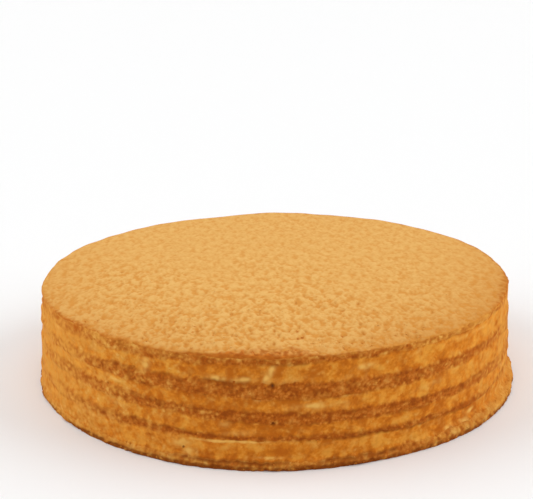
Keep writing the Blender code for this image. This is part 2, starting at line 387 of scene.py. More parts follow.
def noise_spots(points, size, theme):
    shift = NOISE_STEP * (seed_of(theme) % 100)
    return (points.reshape(-1, 3) / DRAWN_OUT / size + shift).tolist()


def wander(points, size, theme):
    """Smooth noise of a given size at each point, mostly within -0.5 to 0.5."""
    values = [noise.noise(spot) for spot in noise_spots(points, size, theme)]
    return np.array(values).reshape(points.shape[:-1])


def grains(points, size, theme):
    """Round grains of a given size, packed side by side.

    At each point, the height is 1 on top of a grain and 0 between grains. The tone is a chance
    number from 0 to 1 for each grain, and 0.5 where two grains meet.
    """
    heights = []
    tones = []
    for spot in noise_spots(points, size, theme):
        distances, middles = noise.voronoi(spot)
        heights.append(1 - distances[0] ** 2 / GRAIN_GAP)
        inside = min(1.0, GRAIN_SOFTNESS * (distances[1] - distances[0]))
        tones.append(0.5 + noise.cell(middles[0]) / 2 * inside)
    heights = np.clip(heights, 0.0, 1.0).reshape(points.shape[:-1])
    return heights, np.array(tones).reshape(points.shape[:-1])


def pits(points, size, share, theme):
    """Round hollows in that share of the cells of a given size: 1 in the middle and 0 outside."""
    depths = []
    for spot in noise_spots(points, size, theme):
        distances, middles = noise.voronoi(spot)
        chosen = noise.cell(middles[0]) / 2 + 0.5 < share
        depths.append(1 - PIT_FALL * distances[0] ** 2 / GRAIN_GAP if chosen else 0.0)
    return smoothstep(np.array(depths)).reshape(points.shape[:-1])


def around(values):
    """Smooth values at every column, from values at fewer even turns."""
    spectrum = np.fft.rfft(values, axis=0)
    return np.fft.irfft(spectrum, COLUMNS, axis=0) * (COLUMNS / len(values))


def turn_from(turns, place):
    """The signed angle from a place to each turn."""
    return (turns - place + math.pi) % FULL_TURN - math.pi


def along_turn(turns, table):
    """Values at each turn, from a table of values at turns in degrees."""
    return np.interp(np.degrees(turn_from(turns, 0.0)), list(table), list(table.values()))


def along_stretches(stretches, steepness, elsewhere):
    """The strength of stretches, from and to so many degrees, at each column."""
    strongest = elsewhere
    for start, end, strength in stretches:
        middle = math.radians((start + end) / 2)
        reach = math.radians((end - start) / 2)
        inside = smoothstep(steepness * (1 - np.abs(turn_from(TURNS, middle)) / reach))
        strongest = np.maximum(strongest, strength * inside)
    return strongest


def out_from_axis(turns):
    """The level direction away from the cake's axis at each turn."""
    return np.stack((np.sin(turns), -np.cos(turns), np.zeros_like(turns)), axis=-1)


# Reading the frame


def corners_of(name):
    return np.array([corner.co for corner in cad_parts[name].data.vertices])


def middle_corners(name, centre):
    """The corners in the middle of a solid's faces, from the lowest up."""
    corners = corners_of(name)
    inside = np.hypot(corners[:, 0] - centre[0], corners[:, 1] - centre[1]) < MIDDLE_REACH
    return corners[inside][corners[inside][:, 2].argsort()]


axis = middle_corners(LAYERS[1], (0.0, 0.0))[0] * (1, 1, 0)


def edge_rows(name):
    """A solid's edge: at each of its turns, the height and radius of its rows from the lowest up."""
    away = corners_of(name) - axis
    radii = np.hypot(away[:, 0], away[:, 1])
    places = np.arctan2(away[:, 0], -away[:, 1]) / FULL_TURN * FRAME_SEGMENTS
    rows = [set() for _ in range(FRAME_SEGMENTS)]
    for place, height, radius in zip(places, away[:, 2], radii):
        if radius > EDGE_FROM:
            rows[round(place) % FRAME_SEGMENTS].add((round(height, 6), round(radius, 6)))
    return np.array([sorted(row) for row in rows])


def side_profile():
    """The side's outline from the foot up at each column: heights and radii.

    It takes in the straight part of every layer's edge, but not the roundings between layers.
    """
    rows = [edge_rows(name)[:, 1:-1] for name in LAYERS]
    rows.insert(0, edge_rows(LOWEST)[:, :1])
    rows.append(edge_rows(COAT)[:, :1])
    profile = around(np.concatenate(rows, axis=1))
    return profile[..., 0], profile[..., 1]


def cake_points(turns, radii, heights):
    """Points at turns, radii and heights about the cake's axis."""
    x = axis[0] + radii * np.sin(turns)
    y = axis[1] - radii * np.cos(turns)
    return np.stack(np.broadcast_arrays(x, y, heights), axis=-1)


# Building meshes


def ring_faces(rows):
    """Four-sided faces between rings of corners, where each ring closes on itself."""
    start = np.arange(rows)[:, None] * COLUMNS
    here = np.arange(COLUMNS)
    beside = (here + 1) % COLUMNS
    above = start + COLUMNS
    corners = (start + here, start + beside, above + beside, above + here)
    return np.stack(corners, axis=-1).reshape(-1, 4)


def strip_maps(rows, strips):
    """A map for those faces: the turn is cut into strips that lie one above another."""
    per_strip = COLUMNS // strips
    column, row = np.meshgrid(np.arange(COLUMNS), np.arange(rows))
    across = (column % per_strip)[..., None] + np.array((0, 1, 1, 0))
    up = row[..., None] + np.array((0, 0, 1, 1))
    u = MAP_MARGIN + (1 - 2 * MAP_MARGIN) * across / per_strip
    v = (column // per_strip)[..., None] + STRIP_MARGIN + (1 - 2 * STRIP_MARGIN) * up / rows
    return np.stack((u, v / (strips + 1)), axis=-1).reshape(-1, 2)


def fan_faces(middle, ring, faces_up):
    """Triangles from a middle corner to a ring of corners."""
    beside = np.roll(ring, -1)
    first, second = (ring, beside) if faces_up else (beside, ring)
    return np.stack((np.full(len(ring), middle), first, second), axis=-1)


def fan_maps(place, reach, faces_up):
    """A map for those triangles: a disc at a place."""
    beside = TURNS + FULL_TURN / COLUMNS
    first, second = (TURNS, beside) if faces_up else (beside, TURNS)
    centre = np.full((COLUMNS, 2), place)
    corners = [centre]
    for turns in (first, second):
        corners.append(centre + reach * out_from_axis(turns)[:, :2])
    return np.stack(corners, axis=1).reshape(-1, 2)


def add_object(name, data):
    thing = bpy.data.objects.new(name, data)
    bpy.context.scene.collection.objects.link(thing)
    return thing


def add_piece(name, points, faces, smooth_count, maps, values, material, stands_for=None):
    """A mesh piece with a map for its faces' corners and values for its points.

    Only the first so many of its faces are shaded smooth.
    """
    mesh = bpy.data.meshes.new(name)
    mesh.from_pydata(points.tolist(), [], faces)
    mesh.polygons.foreach_set("use_smooth", np.arange(len(faces)) < smooth_count)
    layer = mesh.uv_layers.new(name="OFBake")
    layer.uv.foreach_set("vector", np.asarray(maps, dtype=np.float32).ravel())
    for key, numbers in values.items():
        attribute = mesh.attributes.new(key, "FLOAT", "POINT")
        attribute.data.foreach_set("value", np.asarray(numbers, dtype=np.float32).ravel())
    mesh.materials.append(material)
    piece = add_object(name, mesh)
    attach(piece, "root")
    if stands_for:
        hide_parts(stands_for)


# The side


def calm_share(points):
    """How much calmer the texture is at each point: it is most so at the left and the right."""
    away = np.degrees(np.abs(turn_from(TURNS, 0.0)))
    calm = CALM * smoothstep((away - CALM_FROM) / (CALM_TO - CALM_FROM))
    return calm * (1 - near(points[..., 2], LIVELY_FOOT))


def crumbed_share(turns, points):
    """How thickly crumbs cover the side at each point, from 0 to 1."""
    share = along_turn(turns, CRUMBED)
    for theme, size, swing in CRUMBED_PATCHES:
        share = share + swing * wander(points, size, theme)
    return np.clip(share, 0.0, 1.0)


def seam_openness(name, points):
    """How open the seam on top of a layer is at each turn, from 0 to 1."""
    if name == HIGHEST:
        return np.zeros(COLUMNS)
    swing = CHANCE_SEAM_SWING * wander(points, CHANCE_SEAM_SIZE, "seam " + name)
    chance = CHANCE_SEAM * smoothstep(swing + CHANCE_SEAM_LEVEL)
    openness = along_stretches(SEAMS.get(name, ()), SEAM_ENDS, chance)
    broken = 1 + SEAM_GAPS * wander(points, SEAM_GAP_SIZE, "seam gaps")
    return np.clip(openness * broken, 0.0, 1.0)


def upper_borders():
    """The ragged upper border of each layer."""
    borders = []
    for name, above in zip(LAYERS, LAYERS[1:] + (COAT,)):
        rows = around(edge_rows(name))
        rows_above = around(edge_rows(above))
        heights = (rows[:, -1, 0] + rows_above[:, 0, 0]) / 2
        points = cake_points(TURNS, rows[:, -1, 1], heights)
        for size, share in RAGGED_SIZES:
            heights = heights + RAGGED * share * wander(points, size, "border " + name)
        seam_heights = heights - (LOWEST_SEAM_DROP if name == LOWEST else 0.0)
        borders.append(Border(heights, seam_heights, seam_openness(name, points)))
    return borders


def streaks_on(name, low, high):
    """The streaks of bare cream on a layer: those listed in STREAKS and, on a filling, chance ones.
    """
    streaks = [(*streak, SET_STREAK) for streak in STREAKS.get(name, ())]
    if name.startswith("honey"):
        return streaks
    draw = random.Random("streaks " + name)
    for _ in range(CHANCE_STREAKS):
        turn = draw.uniform(-180, 180)
        heights = (low + STREAK_INSET, high - STREAK_INSET, draw.uniform(low, high))
        height = draw.choice(heights) / MM
        streaks.append((turn, height, *(draw.uniform(*span) for span in CHANCE_STREAK)))
    return streaks


def from_spot(turn, height, points, radius):
    """How far along the side and how far up each point lies from a spot, in millimetres."""
    along = turn_from(TURNS, math.radians(turn)) * radius / MM
    return along, points[..., 2] / MM - height


def bare_cream(streaks, points, radius):
    """How much bare cream shows at each point, from 0 to 1."""
    pale = np.zeros(points.shape[:-1])
    for turn, height, length, width, slope, strength in streaks:
        along, up = from_spot(turn, height, points, radius)
        lean = math.radians(slope)
        lengthwise = along * math.cos(lean) + up * math.sin(lean)
        crosswise = up * math.cos(lean) - along * math.sin(lean)
        reach = (2 * lengthwise / length) ** 2 + (2 * crosswise / width) ** 2
        pale = np.maximum(pale, strength * np.exp(-reach))
    broken = STREAK_LEVEL + STREAK_GAPS * wander(points, STREAK_GAP_SIZE, "streak gaps")
    return np.clip(pale * broken, 0.0, 1.0)


# These give the holes their depth and their painted shade
def listed_holes(points, radius):
    """The dark holes listed in HOLES: 1 in the middle of each and 0 outside."""
    depth = np.zeros(points.shape[:-1])
    for turn, height, width in HOLES:
        along, up = from_spot(turn, height, points, radius)
        fall = HOLE_FALL * np.hypot(along, up) / (width / 2)
        depth = np.maximum(depth, smoothstep(HOLE_MIDDLE - fall))
    return depth


def ripe_share(name, points):
    """How deep the gold of the cream is at each point, from 0 to 1."""
    ripe = along_stretches(RIPE.get(name, ()), RIPE_ENDS, RIPE_ELSEWHERE)
    return np.clip(ripe + RIPE_SWING * wander(points, RIPE_SIZE, "ripe"), 0.0, 1.0)


def cream_share(name, points, above_low, below_high):
    """How much of the colour is cream's and not honey sponge's, blended across borders."""
    inward = np.full(points.shape[:-1], BLEND)
    if name != LOWEST:
        inward = np.minimum(inward, above_low)
    if name != HIGHEST:
        inward = np.minimum(inward, below_high)
    side = -1 if name.startswith("honey") else 1
    ragged = BLEND_RAGGED * wander(points, BLEND_SIZE, "blend")
    return smoothstep(0.5 + side * inward / BLEND + ragged)


def side_detail(name, points, radius, low, high):
    """The relief of a layer's side at each point, and the values that colour it."""
    above_low = points[..., 2] - low.heights
    below_high = high.heights - points[..., 2]
    cream = cream_share(name, points, above_low, below_high)
    crumbed = crumbed_share(TURNS, points)
    if name == LOWEST:
        crumbed = np.clip(crumbed + LOWEST_CRUMBED, 0.0, 1.0)
    if name == HIGHEST:
        crumbed = crumbed + along_turn(TURNS, HIGHEST_CRUMBED)
        spilled = SPILLED * near(below_high, SPILL_REACH)
        crumbed = np.clip(np.maximum(crumbed, spilled), 0.0, 1.0)
    darkening = 0.0
    if name.startswith("honey") and name not in (LOWEST, HIGHEST):
        darkening = BROWNED_TOP * near(below_high - BROWNED_DEPTH, BROWNED_REACH)
    streaks = streaks_on(name, float(low.heights.mean()), float(high.heights.mean()))
    pale = bare_cream(streaks, points, radius) * (1 - CRUMBS_OVER_STREAKS * crumbed)

    # Open seams: a shallow real groove, darkened with painted shade
    seam = np.zeros(points.shape[:-1])
    for border in (low, high):
        from_seam = points[..., 2] - border.seam_heights
        seam = np.maximum(seam, border.openness * near(from_seam, SEAM_REACH))
    pit = pits(points, PIT_SIZE, PIT_SHARE, "pits") * at_least(PIT_UNCRUMBED, crumbed)
    hole = listed_holes(points, radius)

    grain, tone = grains(points, GRAIN_SIZE, "grains")
    clump = grains(points, CLUMP_SIZE, "clumps")[0]
    lump, lump_tone = grains(points, CRUMB_GRAIN_SIZE, "crumbs")
    uneven = wander(points, CRUMB_GRAIN_SIZE, "uneven cover")
    cover = COVER_BY_CRUMBS * crumbed + COVER_BY_TONE * (lump_tone - 0.5)
    cover = smoothstep(cover + COVER_BY_CHANCE * uneven + COVER_LEVEL)
    grain_tone = tone * (1 - cover) + lump_tone * cover
    honey = 1 - cream
    # Painted shade in the hollows between grains, and in pits
    hollow_shade = (1 - grain) * at_least(CREAM_HOLLOW, honey) * (1 - cover)
    hollow_shade += COVERED_HOLLOW * (1 - lump) * cover
    lively = 1 - calm_share(points)
    relief = (HONEY_GRAIN * honey + CREAM_GRAIN * cream) * (1 - STREAK_SMOOTH * pale)
    relief *= grain - 0.5
    relief += HONEY_CLUMP * honey * (clump - 0.5)
    relief += HONEY_SWELL * honey * wander(points, HONEY_SWELL_SIZE, "honey swells")
    relief += CREAM_SWELL * cream * wander(points, CREAM_SWELL_SIZE, "swells")
    relief += CRUMB_GRAIN * (lump - CRUMB_MEAN) * cover
    relief *= lively
    relief += STREAK_RISE * pale - SEAM_DEPTH * seam
    relief -= HOLE_DEPTH * np.maximum(hole, PIT_DEPTH * pit)
    # Painted shade in open seams and in holes
    dark = np.maximum(MOST_SEAM * seam, hole)
    if name == LOWEST:
        foot = near(above_low, FOOT_REACH)
        relief += FOOT_SPREAD * foot
        # A painted contact shadow along the foot
        foot_shadow = along_turn(TURNS, FOOT_SHADOW)
        foot_shadow = foot_shadow + FOOT_SHADOW_SWING * wander(points, FOOT_SHADOW_SIZE, "foot")
        foot_shadow = smoothstep(FOOT_SHADOW_REACH * foot) * foot_shadow
        dark = np.maximum(dark, MOST_SEAM * np.clip(foot_shadow, 0.0, 1.0))
    tone_swing = grain_tone - 0.5 + TONE_PATCHES * wander(points, CLUMP_SIZE, "tones")
    values = {
        "cream": cream,
        "cover": cover,
        "pale": pale,
        "dark": np.clip(dark, 0.0, 1.0),
        "hollow_shade": np.maximum(hollow_shade, PIT_SHADE * pit) * lively,
        "rough": lively,
        "ripe": ripe_share(name, points),
        "tone": 0.5 + tone_swing * lively - darkening * (1 - CRUMBS_OVER_BROWNED * crumbed),
    }
    return relief, values


def strip_count(height):
    """How many strips the turn is cut into, so that they fill a square map evenly."""
    wanted = math.sqrt(COLUMNS * ROW_PITCH / height)
    choices = [count for count in range(1, MOST_STRIPS + 1) if COLUMNS % count == 0]
    return min(choices, key=lambda count: abs(count - wanted))


def make_layer(name, low, high, profile, material):
    """One honey round or filling of cream between its lower border and its upper border."""
    rows = max(LEAST_ROWS, round(float((high.heights - low.heights).mean()) / ROW_PITCH))
    shares = np.linspace(0.0, 1.0, rows + 1)
    bottom = low.heights - (OVERLAP if name != LOWEST else 0.0)
    heights = bottom + shares[:, None] * (high.heights + OVERLAP - bottom)
    radii = np.empty_like(heights)
    for column, (profile_heights, profile_radii) in enumerate(zip(*profile)):
        radii[:, column] = np.interp(heights[:, column], profile_heights, profile_radii)
    plain = cake_points(TURNS, radii, heights)
    relief, values = side_detail(name, plain, radii.mean(), low, high)
    side = cake_points(TURNS, radii + relief, heights).reshape(-1, 3)

    # The caps have corners of their own, so that they don't bend the side's smooth shading
    middles = middle_corners(name, axis)
    lowest_middle = axis if name == LOWEST else middles[0]
    points = np.vstack((side, side[:COLUMNS], side[-COLUMNS:], lowest_middle, middles[-1]))
    side_values = {key: numbers.ravel() for key, numbers in values.items()}
    values = {
        key: np.concatenate((numbers, numbers[:COLUMNS], numbers[-COLUMNS:], (0.0, 0.0)))
        for key, numbers in side_values.items()
    }
    strips = strip_count(float(np.ptp(heights, axis=0).mean()))
    faces = ring_faces(rows).tolist()
    maps = [strip_maps(rows, strips)]
    for cap, faces_up in enumerate((False, True)):
        ring = len(side) + cap * COLUMNS + np.arange(COLUMNS)
        faces += fan_faces(len(points) - 2 + cap, ring, faces_up).tolist()
        place = (0.25 + 0.5 * cap, (strips + 0.5) / (strips + 1))
        maps.append(fan_maps(place, CAP_REACH / (strips + 1), faces_up))
    maps = np.vstack(maps)
    kind, slot = ("filling", "cream_filling")
    if name.startswith("honey"):
        kind, slot = "round", "honey_sponge"
    name_here = name.replace("layer", kind)
    add_piece(name_here, points, faces, rows * COLUMNS, maps, values, material, name)
    return Ground(side, np.tile(out_from_axis(TURNS), (rows + 1, 1)), side_values)


# The coat of crumbs on the top


def soften(grid):
    """Each value of a grid blended with its neighbours."""
    for direction in (0, 1):
        grid = (2 * grid + np.roll(grid, 1, direction) + np.roll(grid, -1, direction)) / 4
    return grid


def probe_coat():
    """The softened height of the coat's solid over an even grid, by rays cast down on it."""
    solid = BVHTree.FromObject(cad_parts[COAT], bpy.context.evaluated_depsgraph_get())
    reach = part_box(COAT)[1].xy.length
    places = np.arange(-reach, reach, PROBE_PITCH)
    heights = np.zeros((len(places), len(places)))
    found = np.zeros_like(heights)
    for i, x in enumerate(places):
        for j, y in enumerate(places):
            hit = solid.ray_cast(Vector((x, y, PROBE_FROM)), Vector((0, 0, -1)))[0]
            if hit:
                heights[i, j] = hit.z
                found[i, j] = 1.0
    for _ in range(PROBE_SOFTENINGS):
        heights = soften(heights)
        found = soften(found)
    return places[0], heights / np.maximum(found, 1e-6)


def probed(probe, points):
    """The probed height at each point, blended between the grid's four nearest."""
    start, heights = probe
    place = (points[:, :2] - start) / PROBE_PITCH
    low = np.floor(place).astype(int)
    x, y = (place - low).T
    i, j = low.T
    lower = heights[i, j] * (1 - x) + heights[i + 1, j] * x
    upper = heights[i, j + 1] * (1 - x) + heights[i + 1, j + 1] * x
    return lower * (1 - y) + upper * y


def scattered_spots(rim_radii):
    """Spots in a scattered honeycomb inside the rim, their turns and how far in they lie."""
    draw = random.Random("spots on the top")
    row_pitch = TOP_PITCH * math.sqrt(3) / 2
    reach = rim_radii.max()
    rows = int(reach / row_pitch) + 1
    columns = int(reach / TOP_PITCH) + 1
    spots = []
    for row in range(-rows, rows + 1):
        for column in range(-columns, columns + 1):
            x = (column + 0.5 * (row % 2) + draw.uniform(-TOP_JITTER, TOP_JITTER)) * TOP_PITCH
            y = row * row_pitch + draw.uniform(-TOP_JITTER, TOP_JITTER) * TOP_PITCH
            spots.append((x, y))
    spots = np.array(spots)
    turns = np.arctan2(spots[:, 0], -spots[:, 1]) % FULL_TURN
    to_rim = np.interp(turns, TURNS, rim_radii, period=FULL_TURN) - np.hypot(*spots.T)
    inside = to_rim > TOP_FROM_RIM * TOP_PITCH
    return spots[inside], turns[inside], to_rim[inside]


def top_detail(points):
    """The relief of the crumbs on the top at each point, and the values that colour it."""
    rough = TOP_ROUGH + (points[:, :2] @ np.array(TOP_ROUGH_SLOPE))
    rough = rough + ROUGH_PATCH * wander(points, ROUGH_PATCH_SIZE, "rough patches")
    rough = np.clip(rough, LEAST_ROUGH, MOST_ROUGH)
    points = points / (1.0, TOP_DRAWN_OUT, 1.0)
    relief, low, tone_swing = np.zeros((3, len(points)))
    for theme, size, rise, share_in_low, share_in_tone in TOP_WAVES:
        wave = wander(points, size, theme)
        relief += rise * wave
        low += share_in_low * wave
        tone_swing += share_in_tone * wave
    pit = pits(points, TOP_PIT_SIZE, TOP_PIT_SHARE, "top pits")
    relief = (relief - TOP_PIT_DEPTH * pit) * rough
    low = smoothstep((low - TOP_LOW_FROM) / (TOP_LOW_TO - TOP_LOW_FROM))
    # Painted shade, in orange, in low places and in pits
    hollow_shade = np.maximum(TOP_LOW_SHADE * low, pit) * at_least(SMOOTH_HOLLOW, rough)
    tone = 0.5 + tone_swing * at_least(SMOOTH_TONE, rough)
    return relief, {"hollow_shade": hollow_shade, "tone": tone, "rough": rough}


def rim_darkening(turns, to_rim):
    """How much deeper the colour of the crumbs is near the rim, from 0 to 1."""
    share = along_turn(turns, RIM_DARKENING)
    return share * np.exp(-np.maximum(to_rim, 0.0) / RIM_DARKENING_REACH)


def bare_edge(turns, points, to_rim):
    """How much brown sponge shows through the crumbs near the rim, from 0 to 1.

    to_rim is how far in a point lies, or how far below the rim, as a negative number.
    """
    reach = MM * along_turn(turns, BARE)
    at_rim = along_turn(turns, BARE_SHARE)
    inward = at_rim * np.maximum(to_rim, 0.0) / reach
    downward = np.maximum(-to_rim, 0.0) / RIM_DROP
    ragged = BARE_RAGGED * wander(points, BARE_RAGGED_SIZE, "bare edge")
    share = smoothstep(at_rim - inward + downward + ragged)
    return share * smoothstep(reach / BARE_FULLY)


def make_coat(foot, material):
    """The coat of crumbs: its grainy top, its rounded rim and its hidden underside.

    foot holds the points of the side's uppermost row, where the coat begins.
    """
    rim_heights, rim_radii = around(edge_rows(COAT))[:, -1].T
    low_heights = foot[:, 2] - OVERLAP
    foot_radii = np.hypot(*(foot - axis)[:, :2].T)
    rings = []
    for share in np.linspace(0.0, 1.0, RIM_ROWS):
        heights = low_heights + (rim_heights - low_heights) * share
        radii = foot_radii + (rim_radii - foot_radii) * share**2
        plain = cake_points(TURNS, radii, heights)
        crumble = RIM_CRUMBLE * (grains(plain, RIM_GRAIN_SIZE, "rim")[0] - 0.5)
        rings.append(cake_points(TURNS, radii + crumble * math.sin(math.pi * share), heights))

    spots, inner_turns, to_rim = scattered_spots(rim_radii)
    inner = np.column_stack((spots + axis[:2], np.zeros(len(spots))))
    relief, values = top_detail(inner)
    heights = probed(probe_coat(), inner) + TOP_RISE
    rim_height = np.interp(inner_turns, TURNS, rim_heights, period=FULL_TURN)
    rounding = np.sqrt(1 - (1 - np.clip(to_rim / SHOULDER, 0.0, 1.0)) ** 2)
    inner[:, 2] = rim_height + (heights - rim_height) * rounding
    inner[:, 2] += relief * at_least(RIM_RELIEF, rounding)

    flat = [Vector(point[:2]) for point in np.vstack((rings[-1], inner))]
    outline = [(i, (i + 1) % COLUMNS) for i in range(COLUMNS)]
    only_inside = 1
    net = geometry.delaunay_2d_cdt(flat, outline, [], only_inside, ONE_CORNER)
    first_of_top = (RIM_ROWS - 1) * COLUMNS
    top_faces = np.array([[net[3][i][0] for i in face] for face in net[2]]) + first_of_top
    points = np.vstack((*rings, inner, rings[0], middle_corners(COAT, axis)[0]))

    side_faces = ring_faces(RIM_ROWS - 1)
    under_ring = len(points) - 1 - COLUMNS + np.arange(COLUMNS)
    under_faces = fan_faces(len(points) - 1, under_ring, False)
    scale = (0.5 - MAP_MARGIN) / (rim_radii.max() + RIM_ON_MAP)
    planar = points[:, :2] - axis[:2]
    for row in range(RIM_ROWS):
        drop = RIM_ON_MAP * (1 - row / (RIM_ROWS - 1))
        ring = slice(row * COLUMNS, (row + 1) * COLUMNS)
        planar[ring] = (rim_radii + drop)[:, None] * out_from_axis(TURNS)[:, :2]
    planar = planar * scale + 0.5
    maps = [planar[part].reshape(-1, 2) for part in (side_faces, top_faces)]
    maps.append(fan_maps(UNDERSIDE_ON_MAP, UNDERSIDE_REACH, False))
    maps = np.vstack(maps)
    faces = side_faces.tolist() + top_faces.tolist() + under_faces.tolist()

    visible = points[: -1 - COLUMNS]
    all_turns = np.concatenate((np.tile(TURNS, RIM_ROWS), inner_turns))
    rim = visible[: RIM_ROWS * COLUMNS]
    all_to_rim = np.concatenate((rim[:, 2] - np.tile(rim_heights, RIM_ROWS), to_rim))
    grain, tone = grains(rim, RIM_GRAIN_SIZE, "rim")
    # Painted shade between the grains of the rim
    on_rim = {"hollow_shade": 1 - grain, "tone": tone, "rough": np.ones(len(rim))}
    values = {key: np.concatenate((on_rim[key], values[key])) for key in on_rim}
    values["bare"] = bare_edge(all_turns, visible, all_to_rim)
    values["rim_darkening"] = rim_darkening(all_turns, all_to_rim)
    crumbed = CRUMBS_ON_EDGE * crumbed_share(all_turns, visible)
    crumbed += along_turn(all_turns, HIGHEST_CRUMBED)
    values["cover"] = smoothstep(crumbed)
    piece_values = {
        key: np.concatenate((numbers, numbers[:COLUMNS], (0.0,))) for key, numbers in values.items()
    }
    smooth_count = len(faces) - len(under_faces)
    add_piece(
        "crumb_cover", points, faces, smooth_count, maps, piece_values, material, COAT
    )

    upward = np.tile((0.0, 0.0, 1.0), (len(inner), 1))
    on_top = {key: numbers[-len(inner) :] for key, numbers in values.items()}
    return Ground(inner, upward, on_top)


# Loose crumbs


def octahedron(level):
    """A round-cornered crumb: its corners, triangles and the triangles' corners on a square map."""
    corners = {}
    triangles = []
    maps = []
    for x_side, y_side, z_side in itertools.product((1, -1), repeat=3):
        octant = [(x_side, 0, 0), (0, y_side, 0), (0, 0, z_side)]
        if x_side * y_side * z_side < 0:
            octant.reverse()
        pieces = [octant]
        for _ in range(level - 1):
            pieces = [part for triangle in pieces for part in quarters(triangle)]
        for triangle in pieces:
            triangles.append([corners.setdefault(corner, len(corners)) for corner in triangle])
            for x, y, z in triangle:
                if z_side < 0:
                    x, y = x_side * (1 - abs(y)), y_side * (1 - abs(x))
                maps.append((x, y))
    points = np.array(list(corners))
    return points / np.linalg.norm(points, axis=1)[:, None], np.array(triangles), np.array(maps)


def quarters(triangle):
    """A triangle cut into four through the middles of its sides."""
    a, b, c = triangle
    ab, bc, ca = (tuple((p + q) / 2 for p, q in zip(*side)) for side in ((a, b), (b, c), (c, a)))
    return ((a, ab, ca), (ab, b, bc), (ca, bc, c), (ab, bc, ca))


def random_turns(draw, count):
    """Rotation matrices in random directions."""
    w, x, y, z = draw.normal(size=(4, count))
    length = np.sqrt(w * w + x * x + y * y + z * z)
    w, x, y, z = w / length, x / length, y / length, z / length
    rows = (
        (1 - 2 * (y * y + z * z), 2 * (x * y - w * z), 2 * (x * z + w * y)),
        (2 * (x * y + w * z), 1 - 2 * (x * x + z * z), 2 * (y * z - w * x)),
        (2 * (x * z - w * y), 2 * (y * z + w * x), 1 - 2 * (x * x + y * y)),
    )
    return np.array(rows).transpose(2, 0, 1)


def scatter(name, ground, chances, amount, lifts, darkening, material):
    """Crumbs of uneven shape and of the ground's own colours, half sunk in it, as one piece."""
    count, least, most, level = amount
    draw = np.random.default_rng(seed_of(name))
    chosen = draw.choice(len(ground.points), count, replace=False, p=chances / chances.sum())
    sizes = least + (most - least) * draw.uniform(0.0, 1.0, count) ** 2
    sunk = CRUMB_SUNK * (1 - ground.values["rough"][chosen])
    lift = (draw.uniform(*lifts, count) - sunk) * sizes
    outward = ground.outward[chosen]
    spots = ground.points[chosen] + lift[:, None] * outward
    spots[:, 2] = np.maximum(spots[:, 2], CRUMB_REACH * sizes)

    corners, triangles, cell_maps = octahedron(level)
    lumps = draw.uniform(*CRUMB_LUMPS, (count, len(corners), 1))
    stretch = draw.uniform(*CRUMB_STRETCH, (count, 1, 3))
    shapes = corners * lumps * stretch * sizes[:, None, None] / 2
    shapes = np.einsum("cij,ckj->cki", random_turns(draw, count), shapes)
    out = 2 * np.einsum("cki,ci->ck", shapes, outward) / sizes[:, None]
    shapes += spots[:, None, :]
    faces = triangles + len(corners) * np.arange(count)[:, None, None]
    cells = math.ceil(math.sqrt(count))
    cell = np.stack(np.divmod(np.arange(count), cells), axis=-1)[:, None, :]
    maps = (cell + 0.5 + (0.5 - CELL_MARGIN) * cell_maps) / cells

    values = {key: numbers[chosen] for key, numbers in ground.values.items()}
    values["tone"] = np.clip(values["tone"] + draw.normal(0.0, CRUMB_TONES, count), 0.0, 1.0)
    # Crumbs take part of the ground's painted shade
    values["dark"] = CRUMBS_DARKENED * values.get("dark", np.zeros(count))
    values = {key: np.repeat(numbers, len(corners)) for key, numbers in values.items()}
    # Painted shade of their own towards each crumb's foot
    values["hollow_shade"] = darkening * smoothstep(FOOT_SHADE_MIDDLE - FOOT_SHADE_FALL * out).ravel()
    points = shapes.reshape(-1, 3)
    faces = faces.reshape(-1, 3).tolist()
    add_piece(name, points, faces, 0, maps, values, material)


def top_chances(ground):
    """How likely a crumb lies at each point of the top."""
    rough = ground.points[:, :2] @ np.array(TOP_ROUGH_SLOPE)
    swing = CROWDING_SWING * wander(ground.points, CROWDING_SIZE, "crowding")
    crowding = np.clip(CROWDING + rough + swing, LEAST_CROWDING, 1.0)
    crowding *= 1 - FEWER_WHERE_BARE * ground.values["bare"]
    return crowding * (1 - FEWER_IN_HOLLOWS * ground.values["hollow_shade"])


def side_chances(ground):
    """How likely a crumb clings at each point of the side."""
    foot = near(ground.points[:, 2], FOOT_CRUMBS_REACH)
    chances = ON_SIDE + MORE_ON_CRUMBS * ground.values["cover"]
    chances = chances + MORE_ON_HONEY * (1 - ground.values["cream"])
    bare = (1 - ground.values["pale"]) * (1 - ground.values["dark"])
    return chances * bare * at_least(ON_CALM, ground.values["rough"]) + foot


def joined(grounds):
    """Several grounds as one."""
    return Ground(
        np.concatenate([ground.points for ground in grounds]),
        np.concatenate([ground.outward for ground in grounds]),
        {key: np.concatenate([g.values[key] for g in grounds]) for key in grounds[0].values},
    )


# Materials


